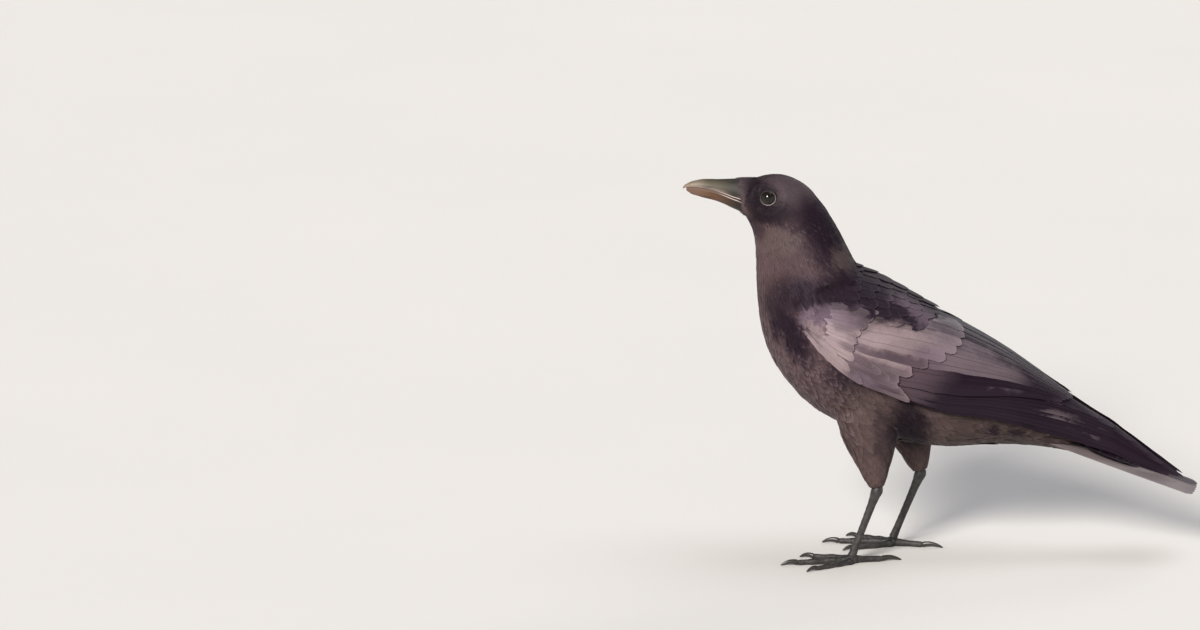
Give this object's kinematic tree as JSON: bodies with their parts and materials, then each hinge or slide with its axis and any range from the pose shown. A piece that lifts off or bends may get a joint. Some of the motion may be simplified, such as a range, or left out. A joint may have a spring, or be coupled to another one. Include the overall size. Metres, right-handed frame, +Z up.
{
  "type": "standing crow figure",
  "caption": "Life-size still model of a carrion crow, standing with its head raised, wings folded along the back and tail sloping down behind.",
  "frame": {"origin": "on the floor under the middle of the bird, half way from the bill's tip to the tail's tip", "axes": "+Z up; the bird faces -X, its left side is -Y; the floor is Z = 0"},
  "size_m": [0.4138, 0.1182, 0.3136],
  "materials": {
    "plumage": "soft overlapping contour feathers, near black with a faint violet and brown sheen",
    "flight_feathers": "smooth vanes, near black with a violet gloss and pale edges",
    "bill_horn": "satin dark grey horn, worn paler along the ridge",
    "claw_horn": "polished black horn",
    "leg_scutes": "black scaled skin with a dull sheen",
    "eye": "wet, very dark brown"
  },
  "bodies": {
    "root": {"head": "plumage", "neck": "plumage", "trunk": "plumage", "tail_coverts": "plumage", "thigh_left": "plumage", "thigh_right": "plumage", "tail": "flight_feathers", "wing_left_coverts": "flight_feathers", "wing_left_secondaries": "flight_feathers", "wing_left_primaries": "flight_feathers", "wing_right_coverts": "flight_feathers", "wing_right_secondaries": "flight_feathers", "wing_right_primaries": "flight_feathers", "bill_upper": "bill_horn", "bill_lower": "bill_horn", "claw_left_middle": "claw_horn", "claw_left_inner": "claw_horn", "claw_left_outer": "claw_horn", "claw_left_hind": "claw_horn", "claw_right_middle": "claw_horn", "claw_right_inner": "claw_horn", "claw_right_outer": "claw_horn", "claw_right_hind": "claw_horn", "tarsus_left": "leg_scutes", "tarsus_right": "leg_scutes", "foot_left": "leg_scutes", "foot_right": "leg_scutes", "toe_left_middle": "leg_scutes", "toe_left_inner": "leg_scutes", "toe_left_outer": "leg_scutes", "toe_left_hind": "leg_scutes", "toe_right_middle": "leg_scutes", "toe_right_inner": "leg_scutes", "toe_right_outer": "leg_scutes", "toe_right_hind": "leg_scutes", "eye_left": "eye", "eye_right": "eye"}
  },
  "joints": []
}
